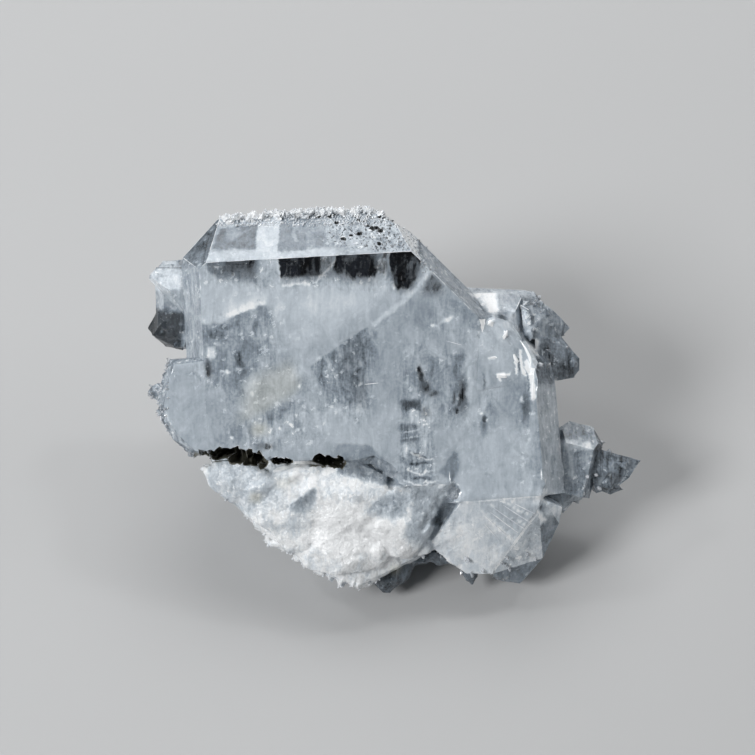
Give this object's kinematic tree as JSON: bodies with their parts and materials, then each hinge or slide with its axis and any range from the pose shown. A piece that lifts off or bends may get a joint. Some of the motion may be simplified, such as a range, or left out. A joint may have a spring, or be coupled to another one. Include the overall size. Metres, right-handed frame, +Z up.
{
  "type": "faden quartz cluster",
  "caption": "Natural cluster of intergrown tabular quartz crystals, milky with clear windows, leaning on its broken base.",
  "frame": {"origin": "middle of the bounding box on the surface that the cluster rests on", "axes": "+X to the right along the cluster's length, +Y to the back, +Z up"},
  "size_m": [0.0714, 0.0462, 0.0363],
  "materials": {
    "quartz": "clear quartz with milky veils, polished crystal faces and sugary fracture"
  },
  "bodies": {
    "root": {"quartz_cluster": "quartz"}
  },
  "joints": []
}
